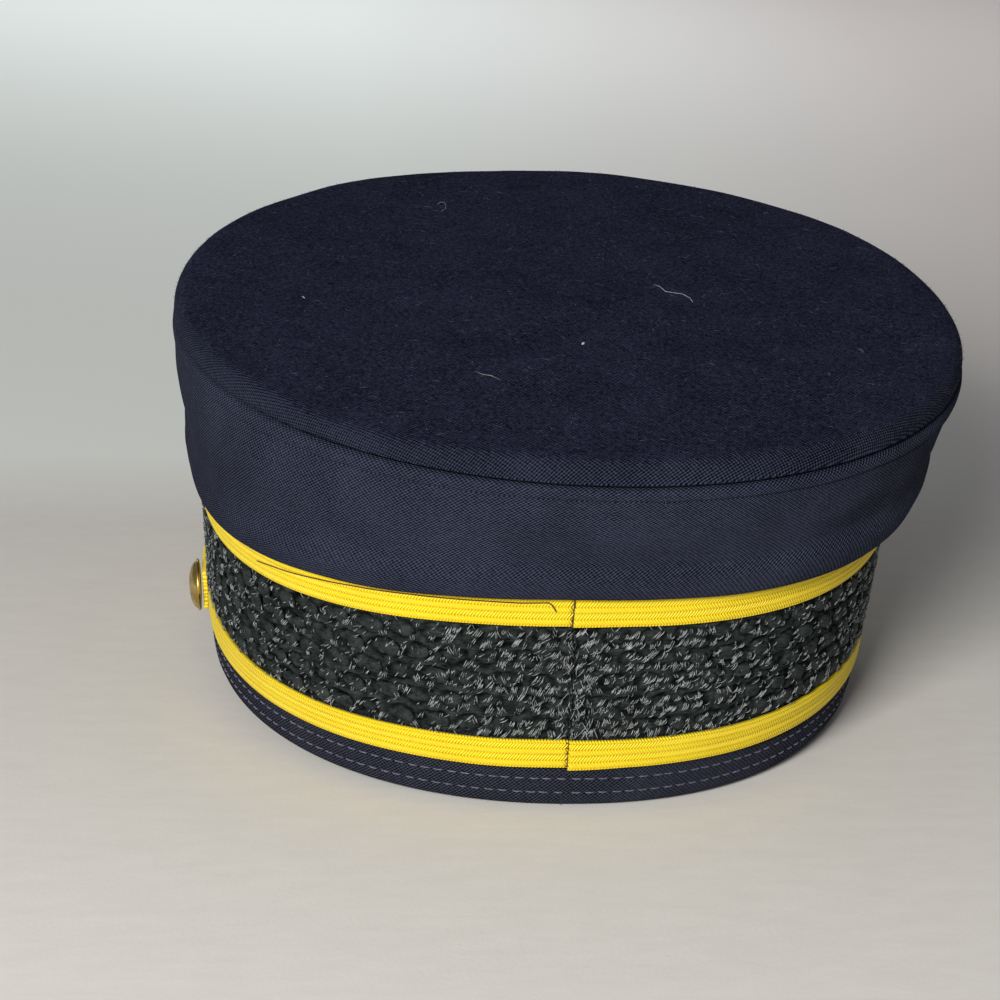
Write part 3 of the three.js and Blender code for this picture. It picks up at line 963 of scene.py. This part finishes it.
# Lint and hairs that cling to the top: short pale fibres, one long hair and a white speck.
# They are bare strands that lie loose on the worn cloth.
LINT_FIBRES = 1000
LINT_HALF_WIDTH = 98
LINT_HALF_LENGTH = 110
random.seed(21)
fluff = bmesh.new()


def on_top(x, y, lift):
    """A place on the top panel, x and y from its middle."""
    angle = math.atan2(x, -y)
    edge = top_point(angle, 1.0, 1.0, -SHOULDER, SHOULDER)
    reach = Vector((edge.x + CROWN_LEAN, edge.y)).length
    share = min(1.0, math.hypot(x, y) / reach)
    point = panel_row(share)(angle)
    point.z += lift
    return point


for _ in range(LINT_FIBRES):
    turn = uniform(0, FULL_TURN)
    reach = math.sqrt(uniform(0, 0.97))
    x = LINT_HALF_WIDTH * reach * sin(turn)
    y = -LINT_HALF_LENGTH * reach * cos(turn)
    heading = uniform(0, FULL_TURN)
    bend = stray(1.6)
    length = random.choice((0.5, 0.7, 0.9, 1.3, 2.4))
    line = []
    for step in range(4):
        line.append(on_top(x, y, 0.06 + 0.1 * (step % 2)))
        x += length / 3 * cos(heading)
        y += length / 3 * sin(heading)
        heading += bend / 2
    add_thread(fluff, line, uniform(0.05, 0.11), 4)
top_lint = lay_in_place(fluff, "top_lint",
                        sewing_thread("grey_blue_lint", "#2a2e45", "#565c78", 0.9))
# name, thickness in mm, places on the top in mm from its middle
MARKS = (("hair", 0.11, ((-23.6, -7.4), (-25.2, -5.9), (-26.1, -2.0), (-28.3, -1.2),
                         (-30.5, -0.3), (-31.9, 2.7), (-32.2, 5.9))),
         ("fibre", 0.08, ((28.5, 58.4), (26.7, 60.5), (24.9, 61.1), (22.9, 63.8))),
         ("curl", 0.06, ((28.8, -75.1), (27.8, -78.1), (26.4, -77.2), (26.5, -72.4),
                         (28.1, -69.5))),
         ("speck", 0.75, ((0.4, 38.9), (0.0, 38.3), (-0.4, 37.7))),
         ("bit", 0.25, ((68.8, 5.3), (68.4, 6.1), (68.1, 6.9))),
         ("hook", 0.07, ((-69.3, 37.9), (-70.4, 39.0), (-70.0, 40.8))))
marks = bmesh.new()
for _, thickness, places in MARKS:
    add_thread(marks, [on_top(x, y, 0.2) for x, y in places], thickness)
clinging = lay_in_place(marks, "clinging_hairs",
                        sewing_thread("pale_hair", "#8b8d99", "#d0d0d6", 0.7))

# Nap: loose wool ends that have worked out of the serge round the edge of the top. Each is a
# short bent strand that stands out from the shoulder.
WOOL_ENDS = 1500
nap = bmesh.new()
for _ in range(WOOL_ENDS):
    angle = uniform(0, FULL_TURN)
    turn = uniform(5, 75)
    start = shoulder_row(turn)(angle)
    out = shoulder_row(turn, 1.0)(angle) - start
    side = Vector((cos(angle), sin(angle), 0.0)) * stray(0.7)
    reach = uniform(0.3, 0.85)
    lift = Vector((0.0, 0.0, uniform(-0.3, 0.35)))
    line = [start - out * 0.1, start + out * reach * 0.5 + side * 0.25,
            start + out * reach * 0.8 + side + lift]
    add_thread(nap, line, uniform(0.04, 0.08), 3)
top_nap = lay_in_place(nap, "top_nap", sewing_thread("wool_ends", "#141624", "#3a3d52", 0.9))
for piece in (top_lint, clinging, top_nap):
    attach(piece, "root")

# The peak: a crescent board bent to the head, faced in black patent leather with a narrow
# bound edge. It slopes down from the rim at the front.
PEAK_HALF_ANGLE = radians(66)
PEAK_REACH = 46.0
PEAK_TIP_REACH = 4.0
PEAK_DROP = 16.5
PEAK_CURVE = 2.0
PEAK_THICKNESS = 2.2
PEAK_ROOT_HEIGHT = 1.2
PIECE_GAP = 0.3
PEAK_FACES = 120


def peak_point(across, out, up):
    angle = mix(-PEAK_HALF_ANGLE, PEAK_HALF_ANGLE, across)
    fullness = cos(angle / PEAK_HALF_ANGLE * pi / 2)
    reach = mix(PEAK_TIP_REACH, PEAK_REACH, fullness)
    point = band_point(angle, PEAK_ROOT_HEIGHT + PEAK_THICKNESS * up, PIECE_GAP)
    point.x += sin(angle / 2) * reach * out
    point.y -= cos(angle / 2) * reach * out
    point.z -= PEAK_DROP * reach / PEAK_REACH * out
    point.z += PEAK_CURVE * 4 * out * (1 - out) * fullness
    return point


def bent_board(place, along, across, size, rounding):
    """A board cut into along by across faces; place gives a point from three shares, size is
    its flat length and width for the cloth map. Its sharp edges are rounded."""
    board = bmesh.new()
    bmesh.ops.create_cube(board, size=1.0)
    for axis, cuts in ((0, along - 1), (1, across - 1)):
        edges = [e for e in board.edges if abs((e.verts[0].co - e.verts[1].co)[axis]) > 0.9]
        bmesh.ops.subdivide_edges(board, edges=edges, cuts=cuts, use_grid_fill=True)
    laid = board.loops.layers.uv.new("cloth")
    for face in board.faces:
        for loop in face.loops:
            loop[laid].uv = ((loop.vert.co.x + 0.5) * size[0], (loop.vert.co.y + 0.5) * size[1])
    for v in board.verts:
        v.co = place(v.co.x + 0.5, v.co.y + 0.5, v.co.z + 0.5)
    bmesh.ops.recalc_face_normals(board, faces=board.faces)
    sharp = [e for e in board.edges if len(e.link_faces) == 2 and e.calc_face_angle(0.0) > 1.0]
    bmesh.ops.bevel(board, geom=sharp, offset=rounding, affect="EDGES", segments=3, profile=0.5,
                    material=-1, clamp_overlap=True)
    return board


# Patent leather: leather under a thick clear lacquer, so it is black and glossy, with the
# grain just showing as a faint orange-peel swell.
patent = new_material("black_patent_leather")
place = own_place(patent)
swell = speckle(patent, place, 260.0, 2.0)
scuffs = speckle(patent, place, 40.0, 5.0)
finish_cloth(patent, ramp(patent, swell, [(0.3, "#060607"), (0.8, "#101013")]),
             ramp(patent, scuffs, [(0.35, 0.2), (0.8, 0.34)]), swell, 0.00006)
peak_board = lay_in_place(bent_board(
    lambda x, y, z: peak_point(x, y * 0.985, mix(0.1, 0.92, z)),
    PEAK_FACES, 16, (240.0, PEAK_REACH), 0.4), "peak_board", patent)
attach(peak_board, "root")
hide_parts("peak")
peak_binding = lay_in_place(bent_board(
    lambda x, y, z: peak_point(x, mix(0.93, 1.0, y), mix(-0.05, 1.12, z)),
    PEAK_FACES, 3, (240.0, 4.0), 0.4), "peak_binding", patent)
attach(peak_binding, "root")

# The front strap: a flat gold braid of the same silk, ribbed lengthwise, laid over the root
# of the peak. Each end is folded under and held by a gilt button.
STRAP_WIDTH = 11.0
STRAP_HEIGHT = 11.5
STRAP_OUTSET = 1.1
STRAP_THICKNESS = 1.2
STRAP_RIBS = 6
STRAP_RIB_HEIGHT = 0.22
BUTTON_ANGLE = radians(89)
STRAP_HALF_ANGLE = BUTTON_ANGLE + 4.0 / RIM_HALF_WIDTH


def strap_point(across, up, out):
    angle = mix(-STRAP_HALF_ANGLE, STRAP_HALF_ANGLE, across)
    rib = STRAP_RIB_HEIGHT * abs(sin(up * STRAP_RIBS * pi)) ** 0.7
    face = STRAP_OUTSET + (STRAP_THICKNESS - STRAP_RIB_HEIGHT + rib) * out
    return band_point(angle, STRAP_HEIGHT + (STRAP_WIDTH - 0.2) * (up - 0.5), face)


front_strap = lay_in_place(bent_board(strap_point, 240, 30, (280.0, STRAP_WIDTH), 0.18),
                           "front_strap_braid", braid_gold)
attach(front_strap, "root")
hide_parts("front_strap")

# The side buttons: gilt brass shells, stamped as a low dome in a rolled rim, that stand on a
# wire shank through the strap and the band.
BUTTON_EDGE = 0.9
BUTTON_DOME = 2.3
BUTTON_SEAT = STRAP_OUTSET + STRAP_THICKNESS + 0.6
BUTTON_STEPS = 64
# radius and height in mm: the flat back and the rolled rim
BUTTON_RIM = ((0.0, 0.0), (5.9, 0.0), (6.7, 0.12), (7.0, 0.45), (6.94, 0.75), (6.75, 0.93),
              (6.5, 0.9))


def button_shell():
    """Spins the button's outline about its axis, which runs along Z."""
    outline = list(BUTTON_RIM)
    for degrees in range(8, 90, 9):
        t = radians(degrees)
        outline.append((6.4 * cos(t), BUTTON_EDGE - 0.08 + BUTTON_DOME * sin(t)))
    outline.append((0.0, BUTTON_EDGE - 0.08 + BUTTON_DOME))
    shell = bmesh.new()
    chain = [shell.verts.new((radius, 0.0, height)) for radius, height in outline]
    edges = [shell.edges.new(pair) for pair in zip(chain, chain[1:])]
    bmesh.ops.spin(shell, geom=chain + edges, cent=(0, 0, 0), axis=(0, 0, 1), dvec=(0, 0, 0),
                   angle=FULL_TURN, steps=BUTTON_STEPS, use_merge=True, use_duplicate=False)
    bmesh.ops.remove_doubles(shell, verts=shell.verts, dist=0.001)
    bmesh.ops.recalc_face_normals(shell, faces=shell.faces)
    return shell


# Gilt brass: brass with a thin gold plating, a little worn, so it shines warm and unevenly.
gilt = new_material("gilt_brass")
wear = speckle(gilt, own_place(gilt), 320.0, 5.0)
plating = finish_cloth(gilt, ramp(gilt, wear, [(0.3, "#a08440"), (0.7, "#e6cf86")]),
                       ramp(gilt, wear, [(0.3, 0.42), (0.75, 0.22)]), wear, 0.00003)
plating.inputs["Metallic"].default_value = 1.0
for name, angle in (("button_left", BUTTON_ANGLE), ("button_right", -BUTTON_ANGLE)):
    shell = button_shell()
    here, along, rise, out = frame_at(angle, STRAP_HEIGHT, BUTTON_SEAT)
    shell.transform(Matrix.Translation(here) @ Matrix((along, rise, out)).transposed().to_4x4())
    button = lay_in_place(shell, name + "_shell", gilt)
    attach(button, "root")
    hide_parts(name)

# The table: one flat pale painted board, warm grey in front and paler further back. Painted light
# makes the near part brighter towards the camera, and a painted shadow darkens the far part on the
# right.
FLOOR_HALF = 6.0
board = bmesh.new()
bmesh.ops.create_grid(board, x_segments=4, y_segments=4, size=FLOOR_HALF)
table = add_object("table_board", mesh_of(board, "table_board"))
# Matt oil paint: brushed lengthwise, so its pale tone is faintly streaked.
paint = new_material("pale_board_with_painted_light")
place = own_place(paint)
spread = add_node(paint, "SeparateXYZ", Vector=place)
streaks = speckle(paint, stretched(paint, place, (1.0, 3.0, 1.0)), 60.0, 8.0, 0.7)
grain = speckle(paint, place, 900.0, 3.0)


def share_between(value, low, high):
    slope = 1 / (high - low)
    return clamped(paint, scaled(paint, value, slope, -low * slope))


# Painted light: the near part of the board is painted brighter towards the camera and duller
# further back, in place of the lamp's falloff.
painted_light_tone = ramp(paint, streaks, [(0.3, "#e3e1dc"), (0.65, "#e9e7e3")])
painted_shade_tone = ramp(paint, streaks, [(0.3, "#d8d6d1"), (0.65, "#dddbd7")])
near_painted_light_falloff = mixed(paint, share_between(spread.outputs[1], -0.08, 0.16), painted_shade_tone, painted_light_tone)
# Painted shadow and painted reflection: the far part is painted darker and pinker towards the
# right, where the cap's shadow and a warm reflection fall.
painted_shadow_side = share_between(spread.outputs[0], 0.02, -0.3)
far_tone_with_painted_shadow = mixed(paint, painted_shadow_side, linear("#edf1ec"), linear("#dad1cd"))
behind = share_between(spread.outputs[1], -0.085, -0.15)
board_tone = mixed(paint, behind, near_painted_light_falloff, far_tone_with_painted_shadow)
finish_cloth(paint, board_tone, 0.9, grain, 0.00004, specular=0.15)
table.data.materials.append(paint)


# Light: one large soft window-like lamp high on the camera's left, a weak one over the far
# end of the table and an even pale surround.
def soft_lamp(name, place, aim, width, height, power, colour):
    lamp = bpy.data.lights.new(name, "AREA")
    lamp.shape = "RECTANGLE"
    lamp.size = width
    lamp.size_y = height
    lamp.energy = power
    lamp.color = linear(colour)[:3]
    holder = add_object(name, lamp)
    holder.location = place
    holder.rotation_euler = (Vector(aim) - Vector(place)).to_track_quat("-Z", "Y").to_euler()


soft_lamp("window_lamp", (0.60, 1.32, 0.68), (0.0, 0.0, 0.05), 0.55, 0.4, 28.5, "#fffcf8")
soft_lamp("far_table_lamp", (0.1, -1.02, 0.6), (0.02, -1.2, 0.0), 1.0, 0.4, 3.9, "#f6fbff")
world = bpy.data.worlds.new("pale_room")
world.use_nodes = True
surround = world.node_tree.nodes["Background"]
surround.inputs["Color"].default_value = linear("#e9e8ec")
surround.inputs["Strength"].default_value = 0.165
bpy.context.scene.world = world
bpy.context.scene.view_settings.view_transform = "Standard"

# The camera: behind the cap, a little above the brim of the crown, with a long lens and a
# slight roll, as the photograph was taken.
CAMERA_PLACE = Vector((92.065, 768.699, 303.923)) * 0.001
CAMERA_RIGHT = Vector((-0.995268, 0.088209, 0.040743))
CAMERA_UP = Vector((0.009592, -0.328073, 0.944604))
FOCAL_LENGTH = 108.0
SENSOR_WIDTH = 36.0
lens = bpy.data.cameras.new("camera")
lens.lens = FOCAL_LENGTH
lens.sensor_width = SENSOR_WIDTH
lens.clip_start = 0.01
camera = add_object("camera", lens)
turned = Matrix((CAMERA_RIGHT, CAMERA_UP, CAMERA_RIGHT.cross(CAMERA_UP))).transposed().to_4x4()
camera.matrix_world = Matrix.Translation(CAMERA_PLACE) @ turned
bpy.context.scene.camera = camera
